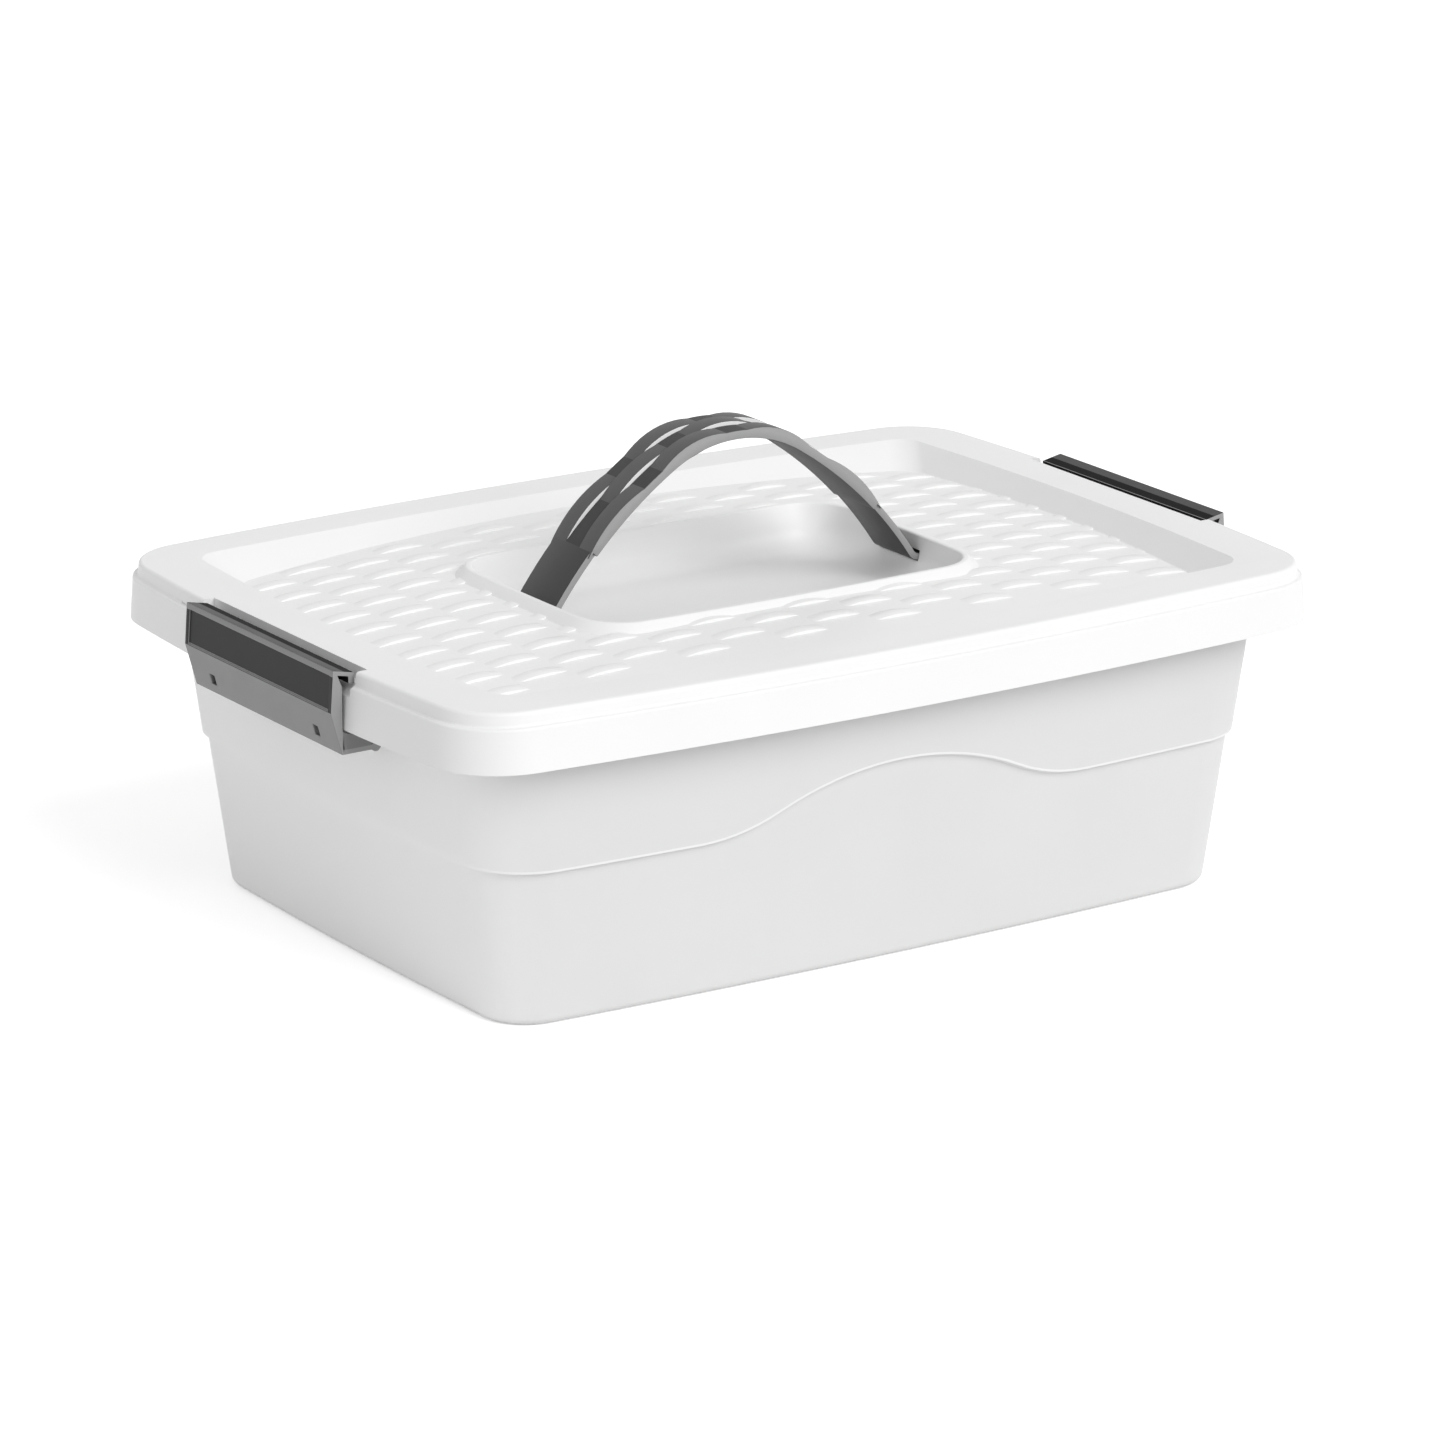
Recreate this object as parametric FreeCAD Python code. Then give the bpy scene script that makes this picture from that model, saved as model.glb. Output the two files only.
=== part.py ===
"""Clip-lid storage box: tapered tub, lid with a sunk crowned panel, two end latches and a carrying strap.

Millimetres. The origin is the middle of the underside, +X runs along the length and +Z is up.
"""
import FreeCAD
import Part
import math
import os

Vector = FreeCAD.Vector

# Lid, outside
box_height = 130.4
lid_length = 400.0
lid_width = 290.4
lid_corner_radius = 31.0
long_side_radius = 2040.0
short_side_radius = 1350.0
lid_wall = 2.0
skirt_depth = 22.4
skirt_lean = 1.2
ledge_drop = 5.6
ledge_width = 1.8
border_lean = 0.7
border_edge_radius = 1.6

# Sunk panel of the lid, with sloped walls and a crowned floor
panel_end_border = 27.7
panel_side_border = 24.1
panel_corner_radius = 11.0
panel_end_slope = 1.1
panel_side_slope = 1.8
panel_crown_radius = 2560.0
panel_crown_drop = 2.4

# Finger basin in the middle of the panel, with a raised rim
basin_length = 173.0
basin_width = 112.0
basin_corner_radius = 18.0
basin_depth = 16.0
basin_end_lean = 1.4
basin_side_lean = 5.0
basin_floor_radius = 12.0
basin_rim_rise = 1.7
basin_rim_width = 2.2
basin_rim_slope = 1.3
basin_rim_edge_radius = 0.9

# Tub
end_overhang = 14.8
side_overhang = 10.8
tub_draft = 0.14
tub_wall = 1.8
tub_floor = 2.0
tub_rim_corner_radius = 34.0
tub_base_corner_radius = 22.0
tub_base_long_side_radius = 2980.0
tub_base_short_side_radius = 2630.0
tub_base_edge_radius = 4.0
tub_inner_edge_radius = 4.0
rim_thickness = 2.4
rim_clearance = 1.0

# Wave-shaped step, above which the tub's wall stands proud
band_step = 2.0
wave_height = 62.5
wave_rise = 20.0
wave_half_length = 88.0
wave_crest_radius = 125.0

# Latches
latch_length = 110.4
latch_gap = 0.6
latch_plate = 2.0
latch_rise = 1.0
latch_bulge = 4.6
latch_top_bulge = 3.4
latch_crease_rise = 7.3
latch_lip_reach = 9.0
latch_lip_drop = 1.8
latch_lip_thickness = 1.8
latch_hook_width = 2.6
latch_play = 0.3
latch_end_rib = 2.0
latch_flange = 2.2
latch_face_sink = 0.6
latch_face_margin = 2.4
latch_hole_width = 3.6
latch_hole_height = 4.0

# Latch seats in the lid's ends
seat_side_clearance = 2.3
seat_depth = 5.4
seat_back = 9.8
seat_crest = 6.0
seat_housing_depth = 13.4
seat_rim_width = 2.2

# Latch hinge: a bar on the latch in open hooks on the tub
hinge_drop = 8.2
hinge_standoff = 4.3
hinge_bar_radius = 2.0
hinge_clearance = 0.08
hinge_hook_wall = 2.0
hinge_hook_width = 8.0
hinge_hook_spacing = 78.0
hinge_mouth = 3.0
hinge_notch_clearance = 0.6

# Carrying strap: an arch of tangent arcs, with its turn measured in degrees from the crown
strap_rise = 55.5
strap_width = 26.0
strap_thickness = 3.6
strap_crown_turn = 32.0
strap_foot_turn = 56.0
strap_foot_radius = 2.0
strap_foot_setback = 0.5
strap_slot_rise = 7.8
strap_clearance = 0.35
strap_head_side = 5.5
strap_head_thickness = 4.0
strap_head_drop = 2.0
grip_turn = 46.9
grip_proud = 0.9
grip_under = 0.5
grip_side = 1.0

# Derived heights and half sizes
half_length = lid_length / 2
half_width = lid_width / 2
skirt_bottom = box_height - skirt_depth
ledge_height = box_height - ledge_drop
rim_height = box_height - lid_wall
rim_half_length = half_length - end_overhang
rim_half_width = half_width - side_overhang
crown_height = box_height - panel_crown_drop
basin_floor = crown_height - basin_depth
basin_rim_height = crown_height + basin_rim_rise
seat_height = box_height - seat_depth
seat_length = latch_length + 2 * seat_side_clearance
step_inset = skirt_lean + ledge_width
border_inset = step_inset + border_lean
hinge_height = skirt_bottom - hinge_drop
hinge_reach = hinge_bar_radius + hinge_clearance + hinge_hook_wall
beyond = lid_length


def outline(half_x, half_y, corner, long_radius, short_radius, height, inset=0.0):
    """Closed wire of a rectangle whose sides bow outward, with round corners tangent to the sides."""
    half_x, half_y, corner = half_x - inset, half_y - inset, corner - inset
    long_radius, short_radius = long_radius - inset, short_radius - inset
    long_centre = half_y - long_radius
    short_centre = half_x - short_radius
    long_reach = long_radius - corner
    short_reach = short_radius - corner
    slope = short_centre / long_centre
    level = (short_reach**2 - long_reach**2 + long_centre**2 - short_centre**2) / (2 * long_centre)
    a = 1 + slope**2
    b = slope * level - short_centre
    c = short_centre**2 + level**2 - short_reach**2
    corner_x = (-b + math.sqrt(b * b - a * c)) / a
    corner_y = level + slope * corner_x
    to_long = Vector(corner_x, corner_y - long_centre, 0).normalize()
    to_short = Vector(corner_x - short_centre, corner_y, 0).normalize()
    centre = Vector(corner_x, corner_y, height)
    on_long = centre + to_long * corner
    on_corner = centre + (to_long + to_short).normalize() * corner
    on_short = centre + to_short * corner

    def place(point, sign_x, sign_y):
        return Vector(point.x * sign_x, point.y * sign_y, point.z)

    quarters = ((1, 1), (-1, 1), (-1, -1), (1, -1))
    middles = (Vector(0, half_y, height), Vector(-half_x, 0, height),
               Vector(0, -half_y, height), Vector(half_x, 0, height))
    edges = []
    for k, quarter in enumerate(quarters):
        first, last = (on_short, on_long) if k % 2 == 0 else (on_long, on_short)
        following = quarters[(k + 1) % len(quarters)]
        edges.append(arc(place(first, *quarter), place(on_corner, *quarter), place(last, *quarter)))
        edges.append(arc(place(last, *quarter), middles[k], place(last, *following)))
    return Part.Wire(edges)


def arc(start, middle, end):
    return Part.Arc(start, middle, end).toShape()


def line(start, end):
    return Part.LineSegment(start, end).toShape()


def loft(low, high):
    """Solid with straight walls between two outlines."""
    return Part.makeLoft([low, high], True, True)


def box(x0, x1, y0, y1, z0, z1):
    return Part.makeBox(x1 - x0, y1 - y0, z1 - z0, Vector(x0, y0, z0))


def bar(radius, length, start):
    """Round bar along Y."""
    return Part.makeCylinder(radius, length, start, Vector(0, 1, 0))


def drawn_out(edges, width):
    """Solid of a closed profile in the X-Z plane, centred across Y."""
    face = Part.Face(Part.Wire(Part.sortEdges(edges)[0]))
    face.translate(Vector(0, -width / 2, 0))
    return face.extrude(Vector(0, width, 0))


def prism(points, width):
    """Solid of a straight-sided profile, given as (x, z) corners, centred across Y."""
    corners = [Vector(x, 0, z) for x, z in points]
    return drawn_out(Part.makePolygon(corners + corners[:1]).Edges, width)


def edges_at(shape, height, within=beyond):
    """Edges that lie flat at one height, and no further from the middle than a given X."""
    flat_tolerance = 1e-3
    flat = [e for e in shape.Edges
            if abs(e.BoundBox.ZMin - height) < flat_tolerance and e.BoundBox.ZLength < flat_tolerance]
    return [e for e in flat if max(-e.BoundBox.XMin, e.BoundBox.XMax) < within]


def turned(shape):
    """Copy of a piece from the right end, turned to the left end."""
    copy = shape.copy()
    copy.rotate(Vector(0, 0, 0), Vector(0, 0, 1), 180)
    return copy


def both_ends(shape):
    return shape.fuse(turned(shape))


def lid_outline(height, inset=0.0):
    return outline(half_length, half_width, lid_corner_radius, long_side_radius, short_side_radius,
                   height, inset)


def panel_outline(height, depth, grow):
    """Outline of the panel's sloped wall at a depth below the border."""
    return outline(half_length - panel_end_border - panel_end_slope * depth + grow,
                   half_width - panel_side_border - panel_side_slope * depth + grow,
                   panel_corner_radius + grow, long_side_radius, short_side_radius, height)


def basin_outline(height, grow=0.0):
    """Outline of the basin's leaning wall at a height."""
    depth = (basin_rim_height - height) / (basin_rim_height - basin_floor)
    return outline(basin_length / 2 - basin_end_lean * depth + grow,
                   basin_width / 2 - basin_side_lean * depth + grow,
                   basin_corner_radius + grow, long_side_radius, short_side_radius, height)


def tub_end_at(height):
    """Half length of the tub's proud upper wall at a height, midway along its end."""
    return rim_half_length - tub_draft * (rim_height - height)


hinge_x = tub_end_at(hinge_height) + hinge_standoff


def tub_outline(height, inset):
    """Outline of the tub's proud upper wall at a height."""
    share = height / rim_height

    def between(base, rim):
        return base + (rim - base) * share

    drop = tub_draft * (rim_height - height)
    return outline(rim_half_length - drop, rim_half_width - drop,
                   between(tub_base_corner_radius, tub_rim_corner_radius),
                   between(tub_base_long_side_radius, long_side_radius),
                   between(tub_base_short_side_radius, short_side_radius), height, inset)


def tub_loft(inset, low=0.0):
    """The tub's tapered body, from a low height up to the rim."""
    return loft(tub_outline(low, inset), tub_outline(rim_height, inset))


def above_wave(raised):
    """Everything above the wave line: level at the ends, with one hump of tangent arcs in the middle."""
    foot = wave_height + raised
    crest = foot + wave_rise
    turn = 2 * math.atan(wave_rise / wave_half_length)
    foot_radius = wave_half_length / math.sin(turn) - wave_crest_radius
    bend_x = wave_crest_radius * math.sin(turn)
    bend_z = crest - wave_crest_radius * (1 - math.cos(turn))
    foot_x = wave_half_length - foot_radius * math.sin(turn / 2)
    foot_z = foot + foot_radius * (1 - math.cos(turn / 2))
    edges = [arc(Vector(-bend_x, 0, bend_z), Vector(0, 0, crest), Vector(bend_x, 0, bend_z)),
             line(Vector(-beyond, 0, beyond), Vector(beyond, 0, beyond))]
    for side in (-1, 1):
        bend, start = Vector(side * bend_x, 0, bend_z), Vector(side * wave_half_length, 0, foot)
        end = Vector(side * beyond, 0, foot)
        edges.append(arc(bend, Vector(side * foot_x, 0, foot_z), start))
        edges.append(line(start, end))
        edges.append(line(end, Vector(side * beyond, 0, beyond)))
    return drawn_out(edges, 2 * beyond)


def hinge_hook(y):
    """Open hook at the right end, round the latch's hinge bar."""
    near, far = y - hinge_hook_width / 2, y + hinge_hook_width / 2
    start = Vector(hinge_x, near, hinge_height)
    eye = bar(hinge_reach, hinge_hook_width, start)
    neck = box(hinge_x - hinge_standoff - tub_wall / 2, hinge_x, near, far,
               hinge_height, hinge_height + hinge_reach)
    mouth = box(hinge_x - hinge_mouth / 2, hinge_x + hinge_mouth / 2, near, far,
                hinge_height - 2 * hinge_reach, hinge_height)
    hole = bar(hinge_bar_radius + hinge_clearance, hinge_hook_width, start)
    return eye.fuse(neck).cut(mouth).cut(hole)


def make_tub():
    lower = tub_loft(band_step)
    lower = lower.makeFillet(tub_base_edge_radius, edges_at(lower, 0))
    outer = lower.fuse(tub_loft(0).common(above_wave(0)))

    # The rim flange fits inside the lid, and stops short of the two latch seats
    flange_inset = border_inset + lid_wall + rim_clearance
    flange = loft(lid_outline(rim_height - rim_thickness, flange_inset),
                  lid_outline(rim_height, flange_inset))
    notch_half = seat_length / 2 + lid_wall + rim_clearance
    notch = box(rim_half_length + seat_rim_width, beyond, -notch_half, notch_half, 0, beyond)
    outer = outer.fuse(flange.cut(both_ends(notch)))

    inner = tub_loft(band_step + tub_wall, tub_floor)
    inner = inner.makeFillet(tub_inner_edge_radius, edges_at(inner, tub_floor))
    inner = inner.fuse(tub_loft(tub_wall).common(above_wave(tub_wall)))

    hooks = hinge_hook(-hinge_hook_spacing / 2).fuse(hinge_hook(hinge_hook_spacing / 2))
    return outer.cut(inner).fuse(both_ends(hooks.cut(inner))).removeSplitter()


def panel_region(grow):
    """Space over the sunk panel: sloped walls, and a floor that is the top of a large ball."""
    panel_half_length = half_length - panel_end_border
    panel_half_width = half_width - panel_side_border
    corner_drop = (panel_half_length**2 + panel_half_width**2) / (2 * panel_crown_radius)
    depth = panel_crown_drop + corner_drop + lid_wall
    top = box_height - grow
    well = loft(panel_outline(top - depth, depth, grow), panel_outline(top, 0, grow))
    centre = Vector(0, 0, crown_height - panel_crown_radius)
    return well.cut(Part.makeSphere(panel_crown_radius - grow, centre, Vector(0, 1, 0)))


def basin_region(grow):
    """Space inside the finger basin, with round floor edges."""
    low = basin_floor - grow
    region = loft(basin_outline(low, grow), basin_outline(box_height + basin_rim_rise, grow))
    return region.makeFillet(basin_floor_radius + grow, edges_at(region, low))


def basin_rim():
    """Raised rim round the basin, sloped outside down into the panel."""
    low = crown_height - basin_rim_rise - lid_wall
    foot = basin_rim_width + basin_rim_slope * (basin_rim_height - low)
    return loft(basin_outline(low, foot), basin_outline(basin_rim_height, basin_rim_width))


def seat_cut():
    """Latch seat in the lid's right end: a pocket in the border whose floor slopes down and outward."""
    back = half_length - seat_back
    crest = half_length - seat_crest
    reach = seat_back + seat_depth
    return prism([(back, seat_height), (crest, seat_height), (crest + reach, seat_height - reach),
                  (crest + reach, box_height + reach), (back, box_height + reach)], seat_length)


def lid_hollow():
    """Space under the lid: inside the skirt and border, outside the panel, the basin and the seats."""
    under_ledge = ledge_height - lid_wall
    in_skirt = loft(lid_outline(skirt_bottom, lid_wall), lid_outline(under_ledge, skirt_lean + lid_wall))
    in_border = loft(lid_outline(under_ledge, step_inset + lid_wall),
                     lid_outline(rim_height, border_inset + lid_wall))
    housing_half = seat_length / 2 + lid_wall
    housing = box(half_length - seat_back - lid_wall, beyond, -housing_half, housing_half,
                  box_height - seat_housing_depth, box_height)
    hollow = in_skirt.fuse(in_border).cut(both_ends(housing))
    return hollow.cut(panel_region(lid_wall)).cut(basin_region(lid_wall))


def make_lid():
    step = loft(lid_outline(ledge_height - lid_wall, step_inset), lid_outline(box_height, border_inset))
    step = step.makeFillet(border_edge_radius, edges_at(step, box_height))
    skirt = loft(lid_outline(skirt_bottom), lid_outline(ledge_height, skirt_lean))
    body = skirt.fuse(step).cut(panel_region(0))
    body = body.fuse(basin_rim()).cut(basin_region(0))
    body = body.makeFillet(basin_rim_edge_radius, edges_at(body, basin_rim_height, basin_length))

    slot_half = strap_width / 2 + strap_clearance
    slot = box(tongue_x - strap_thickness, strap_head_x, -slot_half, slot_half,
               tongue_low - strap_clearance, tongue_high + strap_clearance)
    return body.cut(lid_hollow()).cut(both_ends(seat_cut())).cut(both_ends(slot)).removeSplitter()


def make_latch():
    """Right-hand latch: hinge bar, flange, bowed plate and a lip with a hook for the lid's seat."""
    flange_top = hinge_height + latch_flange / 2
    flange_bottom = hinge_height - latch_flange / 2
    crease_z = skirt_bottom + latch_crease_rise
    top_z = box_height + latch_rise
    foot_x, crease_x, top_x = half_length, half_length + latch_bulge, half_length + latch_top_bulge
    tip_x = top_x - latch_lip_reach
    tip_z = top_z - latch_lip_drop
    hook_z = seat_height + latch_play
    hook_x = tip_x + latch_hook_width

    # The plate's inside follows its outside, clear of the skirt's lower edge
    lower_slope = latch_bulge / (crease_z - flange_bottom)
    lip_slope = latch_lip_drop / latch_lip_reach
    inner_foot = (half_length + latch_gap - lower_slope * (skirt_bottom - flange_top), flange_top)
    inner_crease = (crease_x - latch_plate, crease_z)
    inner_top = (top_x - latch_plate, top_z - latch_lip_thickness - lip_slope * latch_plate)
    lip_root = (hook_x, tip_z - latch_lip_thickness + lip_slope * latch_hook_width)
    latch = prism([(hinge_x, flange_top), inner_foot, inner_crease, inner_top, lip_root,
                   (hook_x, hook_z + latch_play), (tip_x, hook_z), (tip_x, tip_z), (top_x, top_z),
                   (crease_x, crease_z), (foot_x, flange_bottom), (hinge_x, flange_bottom)], latch_length)

    # Ribs close the plate's ends, just clear of the bowed skirt
    rib_middle = (latch_length - latch_end_rib) / 2
    skirt_bow = short_side_radius - math.sqrt(short_side_radius**2 - (rib_middle - latch_end_rib)**2)
    rib_x = half_length + latch_gap - skirt_bow
    rib = prism([inner_foot, (rib_x, skirt_bottom), (rib_x, ledge_height), inner_top, inner_crease],
                latch_end_rib)

    # The hinge bar crosses two notches in the flange, where the tub's hooks hold it
    notch_half = hinge_hook_width / 2 + hinge_notch_clearance
    notch_reach = hinge_reach + hinge_notch_clearance
    hole_z = (flange_top + skirt_bottom) / 2
    for side in (-1, 1):
        latch = latch.fuse(rib.translated(Vector(0, side * rib_middle, 0)))
        y = side * hinge_hook_spacing / 2
        notch = box(hinge_x - notch_reach, hinge_x + notch_reach, y - notch_half, y + notch_half,
                    hinge_height - notch_reach, hinge_height + notch_reach)
        hole = box(inner_foot[0] - latch_plate, beyond, y - latch_hole_width / 2, y + latch_hole_width / 2,
                   hole_z - latch_hole_height / 2, hole_z + latch_hole_height / 2)
        latch = latch.cut(notch).cut(hole)
    bar_start = Vector(hinge_x, -latch_length / 2, hinge_height)
    latch = latch.fuse(bar(hinge_bar_radius, latch_length, bar_start))

    # Sunk face between the crease and the top edge
    lean = (top_x - crease_x) / (top_z - crease_z)
    low = crease_z + latch_face_sink
    high = top_z - latch_face_margin
    low_x = crease_x - latch_face_sink + lean * (low - crease_z)
    high_x = crease_x - latch_face_sink + lean * (high - crease_z)
    face = prism([(low_x, low), (high_x, high), (beyond, high), (beyond, low)],
                 latch_length - 2 * latch_face_margin)
    return latch.cut(face).removeSplitter()


# The strap's arch: a crown arc and two leg arcs, over feet that turn out through the basin's walls
crown_turn = math.radians(strap_crown_turn)
foot_turn = math.radians(strap_foot_turn)
tongue_low = basin_floor + strap_slot_rise
tongue_high = tongue_low + strap_thickness
tongue_x = basin_length / 2 - strap_foot_setback
strap_head_x = basin_length / 2 + lid_wall + strap_clearance
strap_top = box_height + strap_rise - grip_proud
leg_end_x = tongue_x - strap_foot_radius * math.sin(foot_turn)
leg_end_z = tongue_high + strap_foot_radius * (1 - math.cos(foot_turn))
leg_run = math.sin(foot_turn) - math.sin(crown_turn)
leg_fall = math.cos(crown_turn) - math.cos(foot_turn)
crown_fall = 1 - math.cos(crown_turn)
arch_fall = strap_top - leg_end_z
arch_share = leg_fall * math.sin(crown_turn) - leg_run * crown_fall
crown_radius = (leg_end_x * leg_fall - arch_fall * leg_run) / arch_share
leg_radius = (arch_fall * math.sin(crown_turn) - leg_end_x * crown_fall) / arch_share


def strap_point(turn, out, side):
    """Point of the arch's outer face, or a distance out from it, at a turn from the crown."""
    x = (crown_radius + out) * math.sin(min(turn, crown_turn))
    z = strap_top - crown_radius + (crown_radius + out) * math.cos(min(turn, crown_turn))
    if turn > crown_turn:
        x += (leg_radius + out) * (math.sin(turn) - math.sin(crown_turn))
        z += (leg_radius + out) * (math.cos(turn) - math.cos(crown_turn))
    return Vector(side * x, 0, z)


def arch(out, end_turn):
    """Arcs of the strap at a distance out from its outer face."""
    edges = [arc(strap_point(crown_turn, out, -1), strap_point(0, out, 1), strap_point(crown_turn, out, 1))]
    for side in (-1, 1):
        edges.append(arc(strap_point(crown_turn, out, side),
                         strap_point((crown_turn + end_turn) / 2, out, side),
                         strap_point(end_turn, out, side)))
    return edges


def foot_bend(radius, side):
    """Arc that turns the strap's foot outward, from the leg to the level tongue."""
    centre_z = tongue_high + strap_foot_radius

    def at(turn):
        return Vector(side * (tongue_x - radius * math.sin(turn)), 0, centre_z - radius * math.cos(turn))

    return arc(at(foot_turn), at(foot_turn / 2), at(0))


def make_strap():
    edges = arch(0, foot_turn) + arch(-strap_thickness, foot_turn)
    for side in (-1, 1):
        edges.append(foot_bend(strap_foot_radius, side))
        edges.append(foot_bend(strap_foot_radius + strap_thickness, side))
        edges.append(line(Vector(side * tongue_x, 0, tongue_low), Vector(side * tongue_x, 0, tongue_high)))
    strap = drawn_out(edges, strap_width)

    end = math.radians(grip_turn)
    under = -strap_thickness - grip_under
    grip_edges = arch(grip_proud, end) + arch(under, end)
    for side in (-1, 1):
        grip_edges.append(line(strap_point(end, grip_proud, side), strap_point(end, under, side)))
    grip = drawn_out(grip_edges, strap_width + 2 * grip_side)

    # Tongues run through the slots in the basin's end walls, to heads that can't pass them
    head_end = strap_head_x + strap_head_thickness
    head_half = strap_width / 2 + strap_head_side
    tongue = box(tongue_x, head_end, -strap_width / 2, strap_width / 2, tongue_low, tongue_high)
    head = box(strap_head_x, head_end, -head_half, head_half, tongue_low - strap_head_drop, tongue_high)
    return strap.fuse(grip).fuse(both_ends(tongue.fuse(head))).removeSplitter()


right_latch = make_latch()
pieces = {
    "tub": make_tub(),
    "lid": make_lid(),
    "latch_right": right_latch,
    "latch_left": turned(right_latch),
    "handle_strap": make_strap(),
}

os.makedirs("parts", exist_ok=True)
for name, shape in pieces.items():
    bounds = shape.BoundBox
    print(name, "solids", len(shape.Solids), "valid", shape.isValid(), "volume", round(shape.Volume),
          "size", [round(size, 1) for size in (bounds.XLength, bounds.YLength, bounds.ZLength)])
    shape.exportStep(f"parts/{name}.step")
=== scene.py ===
# %% [markdown]
# This lesson dresses a clip-lid storage box: a milky tub, a white lid with a woven relief, two grey end
# latches and a grey carrying strap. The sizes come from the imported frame, so nothing is moved or scaled to
# fit.

# %% Load the frame
import math

import bmesh
import bpy
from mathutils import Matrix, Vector


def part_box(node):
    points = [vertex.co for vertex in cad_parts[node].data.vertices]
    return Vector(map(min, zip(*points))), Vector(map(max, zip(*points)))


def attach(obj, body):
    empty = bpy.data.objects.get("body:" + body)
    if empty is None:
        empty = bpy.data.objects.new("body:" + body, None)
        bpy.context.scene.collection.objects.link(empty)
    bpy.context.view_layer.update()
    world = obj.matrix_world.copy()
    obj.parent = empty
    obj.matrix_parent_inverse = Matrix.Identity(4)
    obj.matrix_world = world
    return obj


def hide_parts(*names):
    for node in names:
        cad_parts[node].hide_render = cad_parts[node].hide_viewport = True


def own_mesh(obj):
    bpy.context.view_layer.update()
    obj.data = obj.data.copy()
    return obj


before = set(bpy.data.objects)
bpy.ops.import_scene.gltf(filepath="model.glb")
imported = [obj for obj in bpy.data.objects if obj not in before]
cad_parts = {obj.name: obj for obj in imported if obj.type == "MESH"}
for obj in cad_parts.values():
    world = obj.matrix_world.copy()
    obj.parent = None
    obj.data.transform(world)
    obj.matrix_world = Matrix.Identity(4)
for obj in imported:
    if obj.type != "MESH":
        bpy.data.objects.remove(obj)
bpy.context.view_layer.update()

MM = 0.001

# %% [markdown]
# The camera stands to the front left, a little above the lid, with a long lens as a product photographer
# would use. A long lens keeps the tub's walls nearly parallel; a short one would make the near corner
# bulge.

# %% Camera
camera_target = Vector((0, 0, 70 * MM))
camera_turn = math.radians(-33.11)
camera_rise = math.radians(16.77)
camera_distance = 2.635
camera_back = Vector((math.sin(camera_turn) * math.cos(camera_rise),
                      -math.cos(camera_turn) * math.cos(camera_rise), math.sin(camera_rise)))
bpy.ops.object.camera_add(location=camera_target + camera_back * camera_distance)
camera = bpy.context.object
camera.rotation_euler = camera_back.to_track_quat("Z", "Y").to_euler()
camera.data.sensor_width = 36
camera.data.lens = 169.4
camera.data.shift_x = 0.0010
camera.data.shift_y = -0.0077
camera.data.clip_end = 50
bpy.context.scene.camera = camera
bpy.context.scene.view_settings.view_transform = "Standard"
print("camera at", [round(c, 3) for c in camera.location])

# %% [markdown]
# Materials are small node trees, so one helper adds a node, sets its values and joins it to earlier nodes.
# Colours are written as sRGB hex, the way a colour picker shows them, and turned to the linear values that
# shaders use.

# %% Node and colour helpers
def add_node(tree, kind, values=None, links=None, **settings):
    """Adds a node with properties, input values, and links from earlier outputs to its inputs."""
    node = tree.nodes.new(kind)
    for name, value in settings.items():
        setattr(node, name, value)
    for name, value in (values or {}).items():
        node.inputs[name].default_value = value
    for name, output in (links or {}).items():
        tree.links.new(output, node.inputs[name])
    return node


def linear(hex_colour):
    """Linear RGBA of an sRGB hex colour."""
    channels = [int(hex_colour[k:k + 2], 16) / 255 for k in (0, 2, 4)]
    return [c / 12.92 if c <= 0.04045 else ((c + 0.055) / 1.055) ** 2.4 for c in channels] + [1.0]


def empty_material(name):
    material = bpy.data.materials.new(name)
    material.use_nodes = True
    material.node_tree.nodes.clear()
    return material


# %% [markdown]
# The box stands on a white sweep under one broad soft light from the front and an even glow all round. A
# wide sun lamp lights the floor evenly, where a near lamp would leave a pool. The floor looks white to the
# camera because a little glow is added for camera, glossy and transmitted rays only, so the shadow stays.

# %% Rays that see the backdrop
def rays_that_see(tree):
    """Output that is 1 for camera, glossy and transmitted rays and 0 for the light that falls on the box."""
    rays = add_node(tree, "ShaderNodeLightPath")
    seen = add_node(tree, "ShaderNodeMath", operation="ADD",
                    links={0: rays.outputs["Is Camera Ray"], 1: rays.outputs["Is Glossy Ray"]})
    seen = add_node(tree, "ShaderNodeMath", operation="MAXIMUM",
                    links={0: seen.outputs[0], 1: rays.outputs["Is Transmission Ray"]})
    return seen.outputs[0]


# %% Floor
floor_glow = 0.45
floor_size = 40
floor_paint = empty_material("white_sweep_paper")
tree = floor_paint.node_tree
paper = add_node(tree, "ShaderNodeBsdfDiffuse", {"Color": linear("F2F2F2")})
glow = add_node(tree, "ShaderNodeMath", {1: floor_glow}, {0: rays_that_see(tree)}, operation="MULTIPLY")
lit = add_node(tree, "ShaderNodeEmission", {"Color": linear("FFFFFF")}, {"Strength": glow.outputs[0]})
both = add_node(tree, "ShaderNodeAddShader", links={0: paper.outputs[0], 1: lit.outputs[0]})
add_node(tree, "ShaderNodeOutputMaterial", links={"Surface": both.outputs[0]})

bpy.ops.mesh.primitive_plane_add(size=floor_size, location=(0, 0, 0))
floor = bpy.context.object
floor.name = "floor"
floor.data.materials.append(floor_paint)
print("floor", floor_size, "m wide")

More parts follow.
